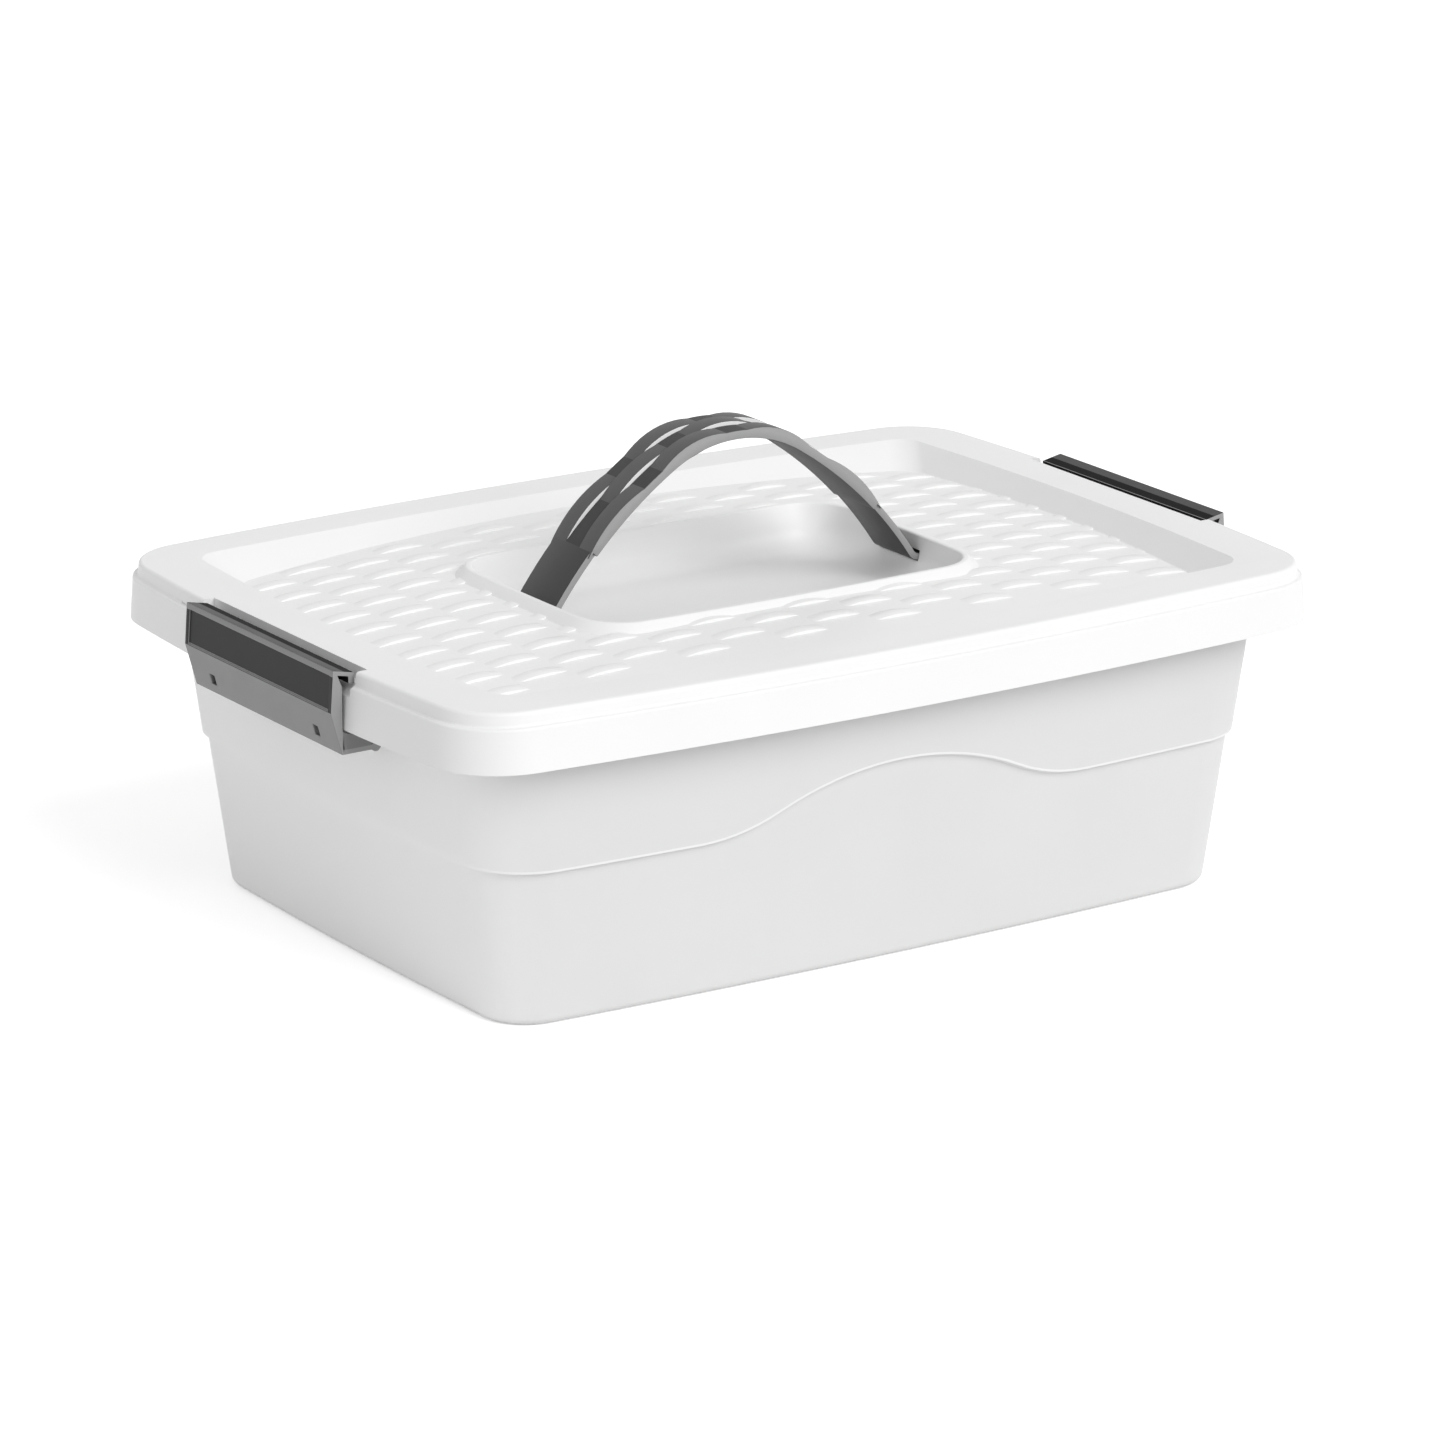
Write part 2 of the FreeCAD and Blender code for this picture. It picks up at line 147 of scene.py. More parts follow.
# %% World
sky_level = 0.60
seen_level = 1.0
world = bpy.data.worlds.new("studio")
bpy.context.scene.world = world
world.use_nodes = True
tree = world.node_tree
tree.nodes.clear()
level = add_node(tree, "ShaderNodeMapRange", {"To Min": sky_level, "To Max": seen_level},
                 {"Value": rays_that_see(tree)})
sky = add_node(tree, "ShaderNodeBackground", {"Color": linear("FFFFFF")}, {"Strength": level.outputs[0]})
add_node(tree, "ShaderNodeOutputWorld", links={"Surface": sky.outputs[0]})
print("sky", sky_level, "as light and", seen_level, "as seen")

# %% Key light
key_level = 1.66
key_turn = math.radians(14)
key_rise = math.radians(36)
key_spread = math.radians(40)
key_distance = 3
key_from = Vector((math.sin(key_turn) * math.cos(key_rise), -math.cos(key_turn) * math.cos(key_rise),
                   math.sin(key_rise)))
bpy.ops.object.light_add(type="SUN", location=key_from * key_distance)
key = bpy.context.object
key.data.energy = key_level
key.data.angle = key_spread
key.rotation_euler = key_from.to_track_quat("Z", "Y").to_euler()
print("key light from", [round(c, 2) for c in key_from])

# %% [markdown]
# All five pieces are injection moulded plastic. Moulded polypropylene is never a flat colour: the steel
# leaves a fine grain, the melt flows leave faint clouds, and handling leaves small changes of gloss. One
# recipe gives these three in Object coordinates, and each finish sets its own colour, gloss and grain.

# %% Moulded plastic recipe
plastic_ior = 1.49
cloud_mm, scuff_mm = 45, 9
gloss_down, gloss_up = 0.05, 0.07
grain_strength = 0.6
lit_end_from = 0.6
shaded_end_power = 2.0


def moulded(name, colour, cloud_colour, roughness, grain_mm, grain_depth_mm, values=None, painted_end_light=None):
    """Principled material with a fine mould grain, cloudy colour, uneven gloss and, if asked, painted light
    on the ends.
    """
    material = empty_material(name)
    tree = material.node_tree
    coordinates = add_node(tree, "ShaderNodeTexCoord")
    place = coordinates.outputs["Object"]
    clouds = add_node(tree, "ShaderNodeTexNoise", {"Scale": 1 / (cloud_mm * MM), "Detail": 2.0},
                      {"Vector": place})
    tone = add_node(tree, "ShaderNodeMix", {"A": linear(colour), "B": linear(cloud_colour)},
                    {"Factor": clouds.outputs["Fac"]}, data_type="RGBA")
    # Painted light: faces that turn to -X or +X are mixed towards the paler end colour.
    if painted_end_light:
        facing = add_node(tree, "ShaderNodeSeparateXYZ", links={0: coordinates.outputs["Normal"]})
        away = add_node(tree, "ShaderNodeMapRange", {"From Min": 0.0, "From Max": -1.0},
                        {"Value": facing.outputs["X"]})
        shaded_end = add_node(tree, "ShaderNodeMath", {1: shaded_end_power}, {0: away.outputs["Result"]},
                              operation="POWER")
        lit_end = add_node(tree, "ShaderNodeMapRange", {"From Min": lit_end_from, "From Max": 1.0},
                           {"Value": facing.outputs["X"]})
        share = add_node(tree, "ShaderNodeMath", links={0: shaded_end.outputs[0],
                                                        1: lit_end.outputs["Result"]}, operation="MAXIMUM")
        tone = add_node(tree, "ShaderNodeMix", {"B": linear(painted_end_light)},
                        {"Factor": share.outputs[0], "A": tone.outputs["Result"]}, data_type="RGBA")
    scuffs = add_node(tree, "ShaderNodeTexNoise", {"Scale": 1 / (scuff_mm * MM), "Detail": 3.0},
                      {"Vector": place})
    gloss = add_node(tree, "ShaderNodeMapRange",
                     {"To Min": roughness - gloss_down, "To Max": roughness + gloss_up},
                     {"Value": scuffs.outputs["Fac"]})
    grain = add_node(tree, "ShaderNodeTexNoise", {"Scale": 1 / (grain_mm * MM), "Detail": 2.0},
                     {"Vector": place})
    relief = add_node(tree, "ShaderNodeBump", {"Strength": grain_strength, "Distance": grain_depth_mm * MM},
                      {"Height": grain.outputs["Fac"]})
    shader = add_node(tree, "ShaderNodeBsdfPrincipled", {"IOR": plastic_ior, **(values or {})},
                      {"Base Color": tone.outputs["Result"], "Roughness": gloss.outputs["Result"],
                       "Normal": relief.outputs["Normal"]})
    add_node(tree, "ShaderNodeOutputMaterial", links={"Surface": shader.outputs[0]})
    return material


# %% Finishes
# White polypropylene of the lid: opaque, satin, with a grain of about half a millimetre.
white_polypropylene = moulded("white_polypropylene", "F0F0F0", "ECECEC", 0.42, 0.6, 0.01)
# Milky polypropylene of the tub: natural resin that scatters light through the wall, so it looks frosted.
# Light that passes in through the long walls comes out at the ends, so the ends are nearly as bright as the
# front. The paler tone of the end walls, beside the darker long walls, is painted light that stands for it.
milky_polypropylene = moulded("milky_polypropylene", "DDDDDD", "D9D9D9", 0.5, 0.9, 0.01,
                              {"Subsurface Weight": 0.3, "Subsurface Radius": (1, 1, 1),
                               "Subsurface Scale": 2 * MM}, painted_end_light="FFFFFF")
# The same resin, paler, at the wave step: a painted highlight that makes the step show as a light line.
milky_wave_line_highlight = moulded("milky_polypropylene_painted_highlight", "EDEDED", "E9E9E9", 0.45, 0.9, 0.01,
                           painted_end_light="FFFFFF")
# Grey polypropylene of the latches: satin, with a polished sunk face whose near-black colour is a painted
# dark reflection.
grey_polypropylene = moulded("grey_polypropylene", "7E7E7E", "787878", 0.38, 0.5, 0.01)
dark_reflection_grey = moulded("polished_grey_painted_reflection", "262626", "242424", 0.3, 0.8, 0.004,
                        {"Specular IOR Level": 0.12})
# The latch lip, which is matt and stays dark even when it lies flat to the light.
matt_dark_grey = moulded("matt_dark_polypropylene", "202020", "1E1E1E", 0.6, 0.5, 0.01,
                         {"Specular IOR Level": 0.03})
# The lip's outer strip, and the latch's end faces, get a painted highlight where the moulding's edge catches
# the light.
lip_strip_highlight_grey = moulded("dark_polypropylene_painted_highlight", "3A3A3A", "363636", 0.45, 0.5, 0.01,
                          {"Specular IOR Level": 0.2})
end_highlight_grey = moulded("grey_polypropylene_painted_end_highlight", "9A9A9A", "929292", 0.4, 0.5, 0.01)
# Grey flexible strap: smooth legs, a matt braided grip, a painted highlight on the upright sides, and painted
# shade on the grip's face between the strands.
strap_smooth = moulded("smooth_grey_elastomer", "424242", "3E3E3E", 0.4, 0.7, 0.008,
                       {"Specular IOR Level": 0.25})
strap_grip = moulded("matt_grey_elastomer", "5A5A5A", "545454", 0.55, 0.5, 0.015,
                     {"Specular IOR Level": 0.3})
# Painted shade on the grip's outer face, where it shows between the strands.
strap_painted_shade = moulded("grey_elastomer_painted_shade", "484848", "444444", 0.6, 0.5, 0.015,
                       {"Specular IOR Level": 0.15})
strap_side_highlight = moulded("elastomer_side_painted_highlight", "9C9C9C", "949494", 0.5, 0.6, 0.01)
# The steep sides of the braid's inner strands get a near-white painted highlight, so they show as light
# slits.
strap_slit_highlight = moulded("elastomer_slit_painted_highlight", "EAEAEA", "E2E2E2", 0.4, 0.6, 0.008)
print("materials", [m.name for m in bpy.data.materials])

# %% [markdown]
# A few helpers repeat what a modeller does with the mouse: take a piece into edit mode with nothing else
# selected, choose faces, edges or points by where they are, and smooth the shading. A piece could also be
# drawn afresh, but a copy of the exact form needs only to be merged into one skin.

# %% Editing helpers
crisp_angle, usual_angle, strand_angle = 22, 32, 40
merge_distance = 0.002 * MM
flat_angle = math.radians(0.15)


def start_editing(piece):
    """Makes one piece active, alone, in edit mode with everything selected."""
    if bpy.context.mode != "OBJECT":
        bpy.ops.object.mode_set(mode="OBJECT")
    bpy.ops.object.select_all(action="DESELECT")
    piece.select_set(True)
    bpy.context.view_layer.objects.active = piece
    bpy.ops.object.mode_set(mode="EDIT")
    bpy.ops.mesh.select_all(action="SELECT")


def pick(piece, kind, test):
    """Selects the faces, edges or points of the edited piece that pass a test, and says how many."""
    bpy.ops.mesh.select_mode(type=kind)
    bpy.ops.mesh.select_all(action="DESELECT")
    shape = bmesh.from_edit_mesh(piece.data)
    parts = {"FACE": shape.faces, "EDGE": shape.edges, "VERT": shape.verts}[kind]
    chosen = [part for part in parts if test(part)]
    for part in chosen:
        part.select_set(True)
    bmesh.update_edit_mesh(piece.data)
    return len(chosen)


def stop_editing(piece, smooth_angle):
    """Leaves edit mode and smooths the shading across edges that turn less than an angle."""
    bpy.ops.object.mode_set(mode="OBJECT")
    bpy.ops.object.shade_smooth_by_angle(angle=math.radians(smooth_angle))
    print(piece.name, len(piece.data.polygons), "faces")


def dress(piece, body, slot, *nodes):
    """Ties a finished piece to its body and hides the frame nodes that it stands for. The slot is not used.
    """
    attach(piece, body)
    if nodes:
        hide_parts(*nodes)


def skin_of(node, name, material, smooth_angle, edge_width=0):
    """A copy of a frame node, merged into one skin and, if a width is given, with its sharp edges rounded."""
    piece = bpy.data.objects.new(name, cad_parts[node].data.copy())
    bpy.context.collection.objects.link(piece)
    piece.data.materials.clear()
    piece.data.materials.append(material)
    start_editing(piece)
    bpy.ops.mesh.remove_doubles(threshold=merge_distance)
    bpy.ops.mesh.customdata_custom_splitnormals_clear()
    bpy.ops.mesh.select_all(action="SELECT")
    bpy.ops.mesh.dissolve_limited(angle_limit=flat_angle)
    bpy.ops.object.mode_set(mode="OBJECT")
    if edge_width:
        rounding = piece.modifiers.new("rounded edges", "BEVEL")
        rounding.width = edge_width
        rounding.segments = 2
        rounding.angle_limit = math.radians(smooth_angle)
        rounding.use_clamp_overlap = False
        bpy.ops.object.modifier_apply(modifier=rounding.name)
    bpy.ops.object.shade_smooth_by_angle(angle=math.radians(smooth_angle))
    print(name, len(piece.data.polygons), "faces")
    return piece


# %% [markdown]
# The lid is one moulding: skirt, ledge, border, sunk panel and finger basin. Its form is already exact in
# the frame, so a copy of it is merged into one skin. A bevel rounds the two edges of the narrow ledge above
# the skirt, which looks soft on the real lid, and a low smoothing angle keeps the panel's shallow edges
# crisp.

# %% Lid
ledge_height = 124.8 * MM
ledge_round = 0.8 * MM
ledge_segments = 4
ledge_reach = 0.05 * MM
ledge_angle = math.radians(60)


def on_ledge_edge(edge):
    """True for the outer edge and the inner corner of the narrow ledge above the skirt."""
    level = all(abs(v.co.z - ledge_height) < ledge_reach for v in edge.verts)
    return level and len(edge.link_faces) == 2 and edge.calc_face_angle() > ledge_angle


lid = skin_of("lid", "lid_shell", white_polypropylene, crisp_angle)
start_editing(lid)
print("ledge edges", pick(lid, "EDGE", on_ledge_edge))
bpy.ops.mesh.bevel(offset=ledge_round, segments=ledge_segments, affect="EDGES", clamp_overlap=True)
stop_editing(lid, crisp_angle)
dress(lid, "lid", "lid", "lid")

# %% [markdown]
# The tub is one thin milky moulding. Its wall steps out along a wave, and on the real box the lip of that
# step shows as a thin light line. A square bevel marks off that line, which gets a paler colour: a painted
# highlight.

# %% Tub
wave_low_z, wave_high_z = 58 * MM, 88 * MM
wave_line_width = 0.9 * MM
step_facing, wall_facing = -0.5, -0.3


def on_wave_edge(edge):
    """True for the outer edge of the step: one face looks down, the other is the wall above it."""
    if len(edge.link_faces) != 2 or not all(wave_low_z < v.co.z < wave_high_z for v in edge.verts):
        return False
    step, wall = sorted(edge.link_faces, key=lambda face: face.normal.z)
    outward = wall.normal.x * edge.verts[0].co.x + wall.normal.y * edge.verts[0].co.y > 0
    return step.normal.z < step_facing and wall.normal.z > wall_facing and outward


tub = skin_of("tub", "tub_shell", milky_polypropylene, usual_angle)
tub.data.materials.append(milky_wave_line_highlight)
start_editing(tub)
print("wave edges", pick(tub, "EDGE", on_wave_edge))
# Painted highlight: the bevel's strips take the paler second colour.
bpy.ops.mesh.bevel(offset=wave_line_width, segments=2, profile=1.0, affect="EDGES", clamp_overlap=True,
                   material=1)
stop_editing(tub, usual_angle)
print("wave line faces", sum(face.material_index == 1 for face in tub.data.polygons))
dress(tub, "tub", "tub", "tub")

# %% [markdown]
# Each latch is a bent grey plate with a lip over the lid. The lip looks nearly black and the rest mid-grey.
# The sunk outside face is polished, and its near-black colour is a painted dark reflection; the ends and the
# lip's outer strip get a painted highlight. They belong to one moulding, so the finishes are given to faces
# of the same piece, and two bisections mark off the strips. Weighted normals keep the flats even beside the
# rounded edges.

# %% Latch webs
latch_half_length = 55.2 * MM
gusset_thickness = 2 * MM
gusset_inner_x, gusset_outer_x = 187.5 * MM, 199.6 * MM
gusset_low_z, gusset_high_z = 100.6 * MM, 107.4 * MM
gusset_fall = 4.6 * MM
gusset_slack = 1 * MM


def latch_gusset(name, outward, end):
    """Tapered web that closes the corner between the latch's foot and its plate, at one end."""
    bpy.ops.object.select_all(action="DESELECT")
    middle_x = outward * (gusset_inner_x + gusset_outer_x) / 2
    middle_y = end * (latch_half_length - gusset_thickness / 2)
    bpy.ops.mesh.primitive_cube_add(size=1, location=(middle_x, middle_y, (gusset_low_z + gusset_high_z) / 2))
    web = bpy.context.object
    web.name = name
    web.scale = (gusset_outer_x - gusset_inner_x, gusset_thickness, gusset_high_z - gusset_low_z)
    bpy.ops.object.transform_apply()
    start_editing(web)
    pick(web, "VERT", lambda v: v.co.x * outward < gusset_inner_x + gusset_slack
         and v.co.z > gusset_low_z + gusset_slack)
    bpy.ops.transform.translate(value=(0, 0, -gusset_fall))
    bpy.ops.object.mode_set(mode="OBJECT")
    web.data.materials.append(grey_polypropylene)
    return web


# %% Latch finishes
SATIN, DARK_REFLECTION, DARK_LIP, LIP_STRIP_HIGHLIGHT, END_HIGHLIGHT = range(5)
sunk_low_z, sunk_high_z = 115.4 * MM, 129 * MM
lip_low_z = 126 * MM
lip_split_x = 198.8 * MM
end_reach = 0.1 * MM
square_on, steep = 0.9, 0.7


def finish_index(face, outward):
    """Slot of the finish of a latch face, by the way it faces and its place."""
    out = face.normal.x * outward
    # Painted highlight on the end faces.
    if abs(face.normal.y) > square_on and abs(face.center.y) > latch_half_length - end_reach:
        return END_HIGHLIGHT
    if out > square_on and sunk_low_z < face.center.z < sunk_high_z:
        # Painted dark reflection on the polished sunk face.
        return DARK_REFLECTION
    if face.center.z > lip_low_z and (face.normal.z > square_on or out < -steep):
        # Painted highlight on the lip's outer strip; the rest of the lip stays dark.
        return LIP_STRIP_HIGHLIGHT if face.center.x * outward > lip_split_x else DARK_LIP
    return SATIN


# %% Latches
latch_edge = 0.35 * MM
for side, outward in (("left", -1), ("right", 1)):
    latch = skin_of(f"latch_{side}", f"latch_{side}_shell", grey_polypropylene, usual_angle, latch_edge)
    for finish in (dark_reflection_grey, matt_dark_grey, lip_strip_highlight_grey, end_highlight_grey):
        latch.data.materials.append(finish)
    start_editing(latch)
    bpy.ops.mesh.bisect(plane_co=(0, 0, sunk_high_z), plane_no=(0, 0, 1))
    pick(latch, "FACE", lambda f: f.normal.z > square_on and f.calc_center_median().z > lip_low_z)
    bpy.ops.mesh.bisect(plane_co=(outward * lip_split_x, 0, 0), plane_no=(1, 0, 0))
    stop_editing(latch, usual_angle)
    shading = latch.modifiers.new("even shading", "WEIGHTED_NORMAL")
    shading.keep_sharp = True
    bpy.ops.object.modifier_apply(modifier=shading.name)
    for face in latch.data.polygons:
        face.material_index = finish_index(face, outward)
    webs = [latch_gusset(f"gusset_{side}", outward, end) for end in (-1, 1)]
    bpy.ops.object.select_all(action="DESELECT")
    for part in [latch] + webs:
        part.select_set(True)
    bpy.context.view_layer.objects.active = latch
    bpy.ops.object.join()
    print("faces with another finish", sum(face.material_index != SATIN for face in latch.data.polygons))
    dress(latch, f"latch_{side}", "latch", f"latch_{side}")

# %% [markdown]
# The sunk panel carries a basket weave in relief: strands that run along the box and rise over their
# neighbours in turn. Carving it by bump alone would vanish in profile, so each rise is real. One rise is a
# thin slice cut off the side of a big cylinder, because that slice is already an arch with upright sides.

# %% One raised strand
strand_sink = 0.6 * MM
strand_facets = 10


def raised_strand(name, length, width, height, edge):
    """Arched slice, lying along X with its middle at the origin and its foot a little below."""
    radius = (length ** 2 / 4 + height ** 2) / (2 * height)
    facets = round(strand_facets * math.pi / math.asin(length / 2 / radius))
    bpy.ops.object.select_all(action="DESELECT")
    bpy.ops.mesh.primitive_cylinder_add(vertices=facets, radius=radius, depth=width,
                                        location=(0, 0, height - radius), rotation=(math.pi / 2, 0, 0))
    strand = bpy.context.object
    strand.name = name
    bpy.ops.object.transform_apply()
    start_editing(strand)
    bpy.ops.mesh.bisect(plane_co=(0, 0, -strand_sink), plane_no=(0, 0, 1), use_fill=True, clear_inner=True)
    pick(strand, "EDGE", lambda e: abs(abs(e.verts[0].co.y + e.verts[1].co.y) - width) < edge / 10
         and max(v.co.z for v in e.verts) > edge - strand_sink)
    bpy.ops.mesh.bevel(offset=edge, segments=2, affect="EDGES")
    bpy.ops.object.mode_set(mode="OBJECT")
    print(name, len(strand.data.polygons), "faces")
    return strand


# %% Strands laid on a surface
def lay_strands(name, strand, places, wrap, material):
    """Copies a strand to each place, bends every copy onto a surface and joins them into one piece."""
    copies = []
    for x, y in places:
        copy = bpy.data.objects.new(name, strand.data.copy())
        bpy.context.collection.objects.link(copy)
        for point in copy.data.vertices:
            point.co = wrap(x + point.co.x, y + point.co.y, point.co.z)
        copies.append(copy)
    bpy.data.objects.remove(strand)
    bpy.ops.object.select_all(action="DESELECT")
    for copy in copies:
        copy.select_set(True)
    piece = copies[0]
    bpy.context.view_layer.objects.active = piece
    bpy.ops.object.join()
    piece.data.materials.clear()
    piece.data.materials.append(material)
    bpy.ops.object.shade_smooth_by_angle(angle=math.radians(strand_angle))
    print(name, len(copies), "strands,", len(piece.data.polygons), "faces")
    return piece


# %% [markdown]
# The weave fills the panel outside the finger basin. Rows lie 10 mm apart and close up slightly towards the
# ends, as the panel's sides bow. In each row a strand rises at every second column, half a step off from
# its neighbours.

# %% Lid weave
column_pitch = 150 * MM / 7
row_pitch = 10.0 * MM
row_closing = 0.05
last_column = 7
front_row, back_row = -9, 10
crown_radius_of_panel = 2560 * MM
crown_height_of_panel = 128 * MM
basin_clear_x = 100 * MM
basin_clear_y = 55 * MM


def row_spacing(column):
    """Distance between rows in a column, a little less towards the ends."""
    return row_pitch * (1 - row_closing * (column / last_column) ** 2)


def on_panel(x, y, height):
    """Point at a height over the panel's crowned floor."""
    drop = crown_radius_of_panel - math.sqrt(crown_radius_of_panel ** 2 - x * x - y * y)
    return Vector((x, y, crown_height_of_panel - drop + height))


weave_places = []
for column in range(-last_column, last_column + 1):
    x = column * column_pitch
    spacing = row_spacing(column)
    for row in range(front_row, back_row + 1):
        in_basin = abs(x) < basin_clear_x and abs(row * spacing) < basin_clear_y
        if (row + column) % 2 == 0 and not in_basin:
            weave_places.append((x, row * spacing))
strand_size = {"length": 20.5 * MM, "width": 6.8 * MM, "height": 1.05 * MM, "edge": 0.4 * MM}
strand = raised_strand("lid_strand", **strand_size)
weave = lay_strands("lid_weave", strand, weave_places, on_panel, white_polypropylene)
dress(weave, "lid", "lid")

# %% [markdown]
# Beside the basin its rim cuts the strands short, and at the right wall one more column just comes out of
# the wall. Each of these is the same strand, cut off with a bisection.

# %% Cut strands
basin_column, basin_rows, basin_cut = 4, 4, 2.3 * MM
wall_column, wall_rows, wall_cut = 8, 8, 3.6 * MM


def lay_cut_strands(name, column, rows, cut_x, kept_side):
    """Lays one column of strands of which only the part beyond a cut, on one side, is kept."""
    cut = raised_strand(name + "_strand", **strand_size)
    start_editing(cut)
    bpy.ops.mesh.bisect(plane_co=(cut_x, 0, 0), plane_no=(kept_side, 0, 0), use_fill=True, clear_inner=True)
    bpy.ops.object.mode_set(mode="OBJECT")
    spacing = row_spacing(column)
    places = [(column * column_pitch, row * spacing) for row in range(-rows, rows + 1, 2)]
    piece = lay_strands(name, cut, places, on_panel, white_polypropylene)
    dress(piece, "lid", "lid")


lay_cut_strands("weave_left_of_basin", -basin_column, basin_rows, -basin_cut, -1)
lay_cut_strands("weave_right_of_basin", basin_column, basin_rows, basin_cut, 1)
lay_cut_strands("weave_at_right_wall", wall_column, wall_rows, -wall_cut, -1)

# %% [markdown]
# The strap is one flexible moulding: a thin band that arches over the basin, turns out through slots in the
# basin's end walls and ends in flat heads that can't pull through. Spinning one cross-section about the
# centre of each arc gives true arcs with even steps, which a bend would not.

# %% Strap arcs
strap_low, strap_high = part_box("handle_strap")
grip_proud = 0.9 * MM
band_skim = 0.8 * MM
strap_width = 26 * MM
strap_thickness = 3.6 * MM
crown_turn = math.radians(32)
foot_turn = math.radians(56)
grip_turn = math.radians(46.9)
foot_radius = 2 * MM
tongue_x = 86 * MM
tongue_high = 123.4 * MM
head_x = 88.85 * MM
head_drop = 2 * MM
head_side = 5.5 * MM
strap_top = strap_high.z - grip_proud
leg_end_x = tongue_x - foot_radius * math.sin(foot_turn)
leg_end_z = tongue_high + foot_radius * (1 - math.cos(foot_turn))
leg_run = math.sin(foot_turn) - math.sin(crown_turn)
leg_fall = math.cos(crown_turn) - math.cos(foot_turn)
crown_fall = 1 - math.cos(crown_turn)
arch_fall = strap_top - leg_end_z
arch_share = leg_fall * math.sin(crown_turn) - leg_run * crown_fall
crown_radius = (leg_end_x * leg_fall - arch_fall * leg_run) / arch_share
leg_radius = (arch_fall * math.sin(crown_turn) - leg_end_x * crown_fall) / arch_share
crown_centre = Vector((0, 0, strap_top - crown_radius))
crown_end = Vector((math.sin(crown_turn), 0, math.cos(crown_turn)))
leg_centre = crown_centre + (crown_radius - leg_radius) * crown_end
foot_centre = Vector((tongue_x, 0, tongue_high + foot_radius))
print("strap radii in mm", round(crown_radius / MM, 2), round(leg_radius / MM, 2))


def on_arch(run, across, out):
    """Point at a run along the strap's outer face from the crown, and a distance out from it."""
    turn = min(abs(run) / crown_radius, crown_turn)
    centre, radius = crown_centre, crown_radius
    if turn == crown_turn:
        turn += (abs(run) - crown_radius * crown_turn) / leg_radius
        centre, radius = leg_centre, leg_radius
    x = centre.x + (radius + out) * math.sin(turn)
    return Vector((math.copysign(x, run), across, centre.z + (radius + out) * math.cos(turn)))


# %% One half of the arch
crown_steps, foot_steps = 28, 8
band_leg_steps, grip_leg_steps = 14, 10


def swept_half(name, width, outer, inner, end_turn, leg_steps):
    """Right half of the arch, as one section spun from the crown to a turn down the leg."""
    bpy.ops.object.select_all(action="DESELECT")
    bpy.ops.mesh.primitive_plane_add(size=1, location=(0, 0, strap_top + (outer + inner) / 2),
                                     rotation=(0, math.pi / 2, 0))
    piece = bpy.context.object
    piece.name = name
    piece.scale = (outer - inner, width, 1)
    bpy.ops.object.transform_apply()
    start_editing(piece)
    bpy.ops.mesh.spin(steps=crown_steps, angle=-crown_turn, center=crown_centre, axis=(0, 1, 0))
    bpy.ops.mesh.spin(steps=leg_steps, angle=crown_turn - end_turn, center=leg_centre, axis=(0, 1, 0))
    return piece


# %% Both halves and their edges
strap_rounding = 0.4 * MM
rounding_from = math.radians(50)
side_facing, outer_facing = 0.8, 0.3
seam_reach, seam_merge = 0.001 * MM, 0.01 * MM


def close_halves(piece, edge_width):
    """Opens the half at the crown, mirrors it and rounds its edges."""
    pick(piece, "FACE", lambda f: max(abs(v.co.x) for v in f.verts) < seam_reach)
    bpy.ops.mesh.delete(type="FACE")
    bpy.ops.object.mode_set(mode="OBJECT")
    mirror = piece.modifiers.new("other half", "MIRROR")
    mirror.merge_threshold = seam_merge
    bpy.ops.object.modifier_apply(modifier=mirror.name)
    rounding = piece.modifiers.new("rounded edges", "BEVEL")
    rounding.width = edge_width
    rounding.segments = 2
    rounding.angle_limit = rounding_from
    bpy.ops.object.modifier_apply(modifier=rounding.name)
    start_editing(piece)
    bpy.ops.mesh.normals_make_consistent(inside=False)
    stop_editing(piece, strand_angle)


def paint_side_highlight(piece, main, edge):
    """Gives a strap piece its main finish, with a painted highlight in a paler colour on its upright sides.
    """
    piece.data.materials.clear()
    piece.data.materials.append(main)
    piece.data.materials.append(edge)
    # Painted highlight on the faces that turn to +Y or -Y.
    for face in piece.data.polygons:
        face.material_index = int(abs(face.normal.y) > side_facing)


# %% [markdown]
# The band starts as one half. Its section is spun down the crown, the leg and the foot, drawn out as a
# tongue, and extruded in place so that the head can step out wider. Mirroring the half keeps both sides
# alike.

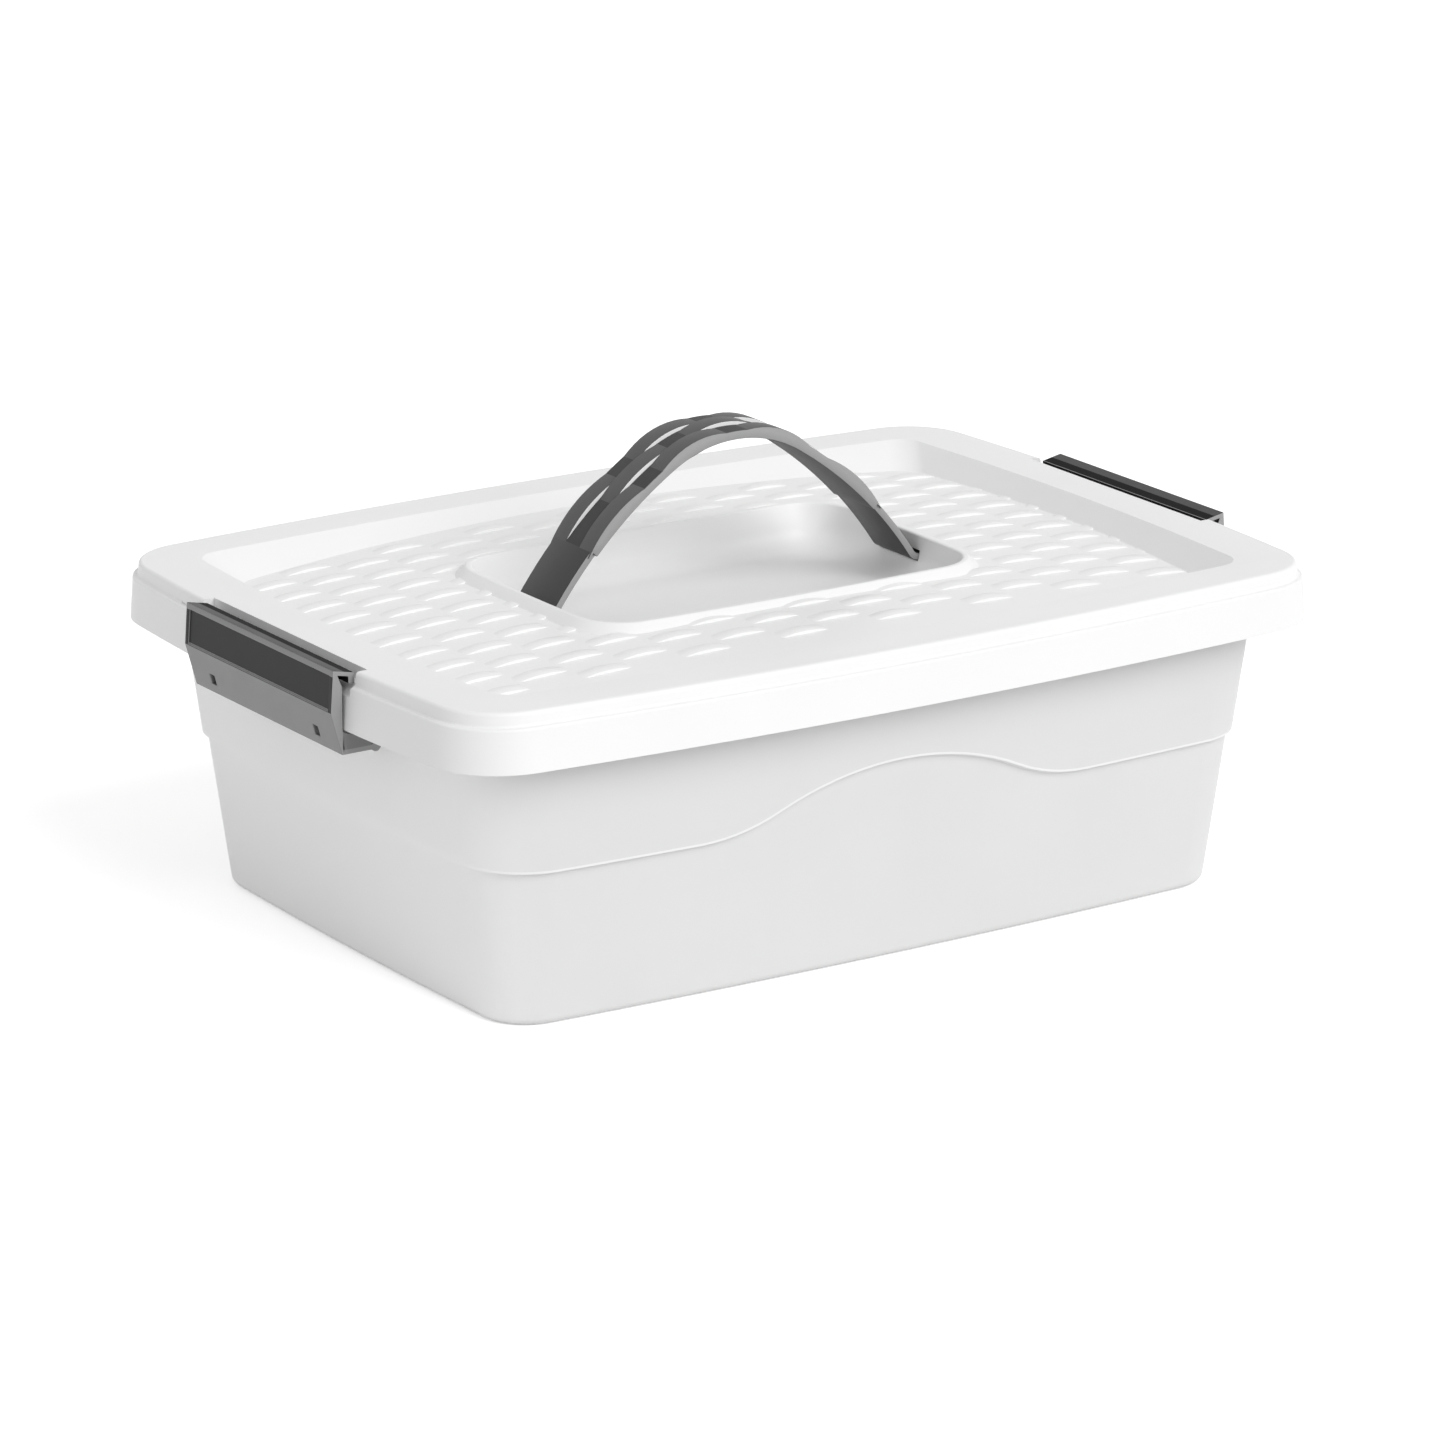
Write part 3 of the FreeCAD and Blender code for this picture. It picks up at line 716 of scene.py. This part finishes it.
# %% Strap band
band = swept_half("strap_band", strap_width, -band_skim, -strap_thickness, foot_turn, band_leg_steps)
bpy.ops.mesh.spin(steps=foot_steps, angle=foot_turn, center=foot_centre, axis=(0, 1, 0))
bpy.ops.mesh.extrude_region_move(TRANSFORM_OT_translate={"value": (head_x - tongue_x, 0, 0)})
bpy.ops.mesh.extrude_region_move(TRANSFORM_OT_translate={"value": (0, 0, 0)})
tongue_height = strap_thickness - band_skim
bpy.ops.transform.resize(value=(1, 1 + 2 * head_side / strap_width, 1 + head_drop / tongue_height),
                         center_override=(head_x, 0, tongue_high - band_skim))
bpy.ops.mesh.extrude_region_move(TRANSFORM_OT_translate={"value": (strap_high.x - head_x, 0, 0)})
close_halves(band, strap_rounding)
paint_side_highlight(band, strap_smooth, strap_side_highlight)

# %% [markdown]
# The grip is a thicker sleeve moulded round the band, with the lid's weave repeated in three rows. The same
# raised strand is copied along the arch, and its upright sides get a painted highlight, palest on the inner
# strands, so they show as bright slits.

# %% Grip sleeve
grip_width = 28 * MM
grip_under = 0.5 * MM
grip_skim = 0.7 * MM
grip = swept_half("strap_grip", grip_width, -grip_skim, -strap_thickness - grip_under, grip_turn,
                  grip_leg_steps)
close_halves(grip, strap_rounding)
paint_side_highlight(grip, strap_grip, strap_side_highlight)
grip.data.materials.append(strap_painted_shade)
# Painted shade: the grip's outer face, seen between the braid's strands, gets the darker colour.
for face in grip.data.polygons:
    if face.normal.dot(face.center - crown_centre) > 0 and abs(face.normal.y) < outer_facing:
        face.material_index = 2

# %% Braid
grip_rows = 3
strand_step = 20.9 * MM
last_strand = 3
strand_gap = 0.2 * MM
braid_edge = 0.35 * MM
slit_margin = 1 * MM
braid_length = 32 * MM
grip_reach = crown_radius * crown_turn + leg_radius * (grip_turn - crown_turn)
braid_rows = [(row - (grip_rows - 1) / 2) * grip_width / grip_rows for row in range(grip_rows)]
braid_places = []
for step in range(-last_strand, last_strand + 1):
    for row, y in enumerate(braid_rows):
        if (step + row) % 2 == 1 and abs(step) * strand_step + braid_length / 2 < grip_reach:
            braid_places.append((step * strand_step, y))


def on_grip(run, across, out):
    """Point at a height over the grip's outer face."""
    return on_arch(run, across, out - grip_skim)


strand = raised_strand("grip_strand", braid_length, grip_width / grip_rows - strand_gap,
                       grip_proud + grip_skim, braid_edge)
braid = lay_strands("strap_braid", strand, braid_places, on_grip, strap_grip)
paint_side_highlight(braid, strap_grip, strap_side_highlight)
braid.data.materials.append(strap_slit_highlight)
# Painted highlight: the steep sides of the inner strands get the near-white slit colour.
for face in braid.data.polygons:
    if face.material_index == 1 and abs(face.center.y) < grip_width / 2 - slit_margin:
        face.material_index = 2

# %% [markdown]
# The real strap bends flat when it is pressed into the basin. Here its three pieces ride on the lid.

# %% Strap motion
for piece in (band, grip, braid):
    dress(piece, "lid", "strap")
    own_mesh(piece)
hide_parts("handle_strap")
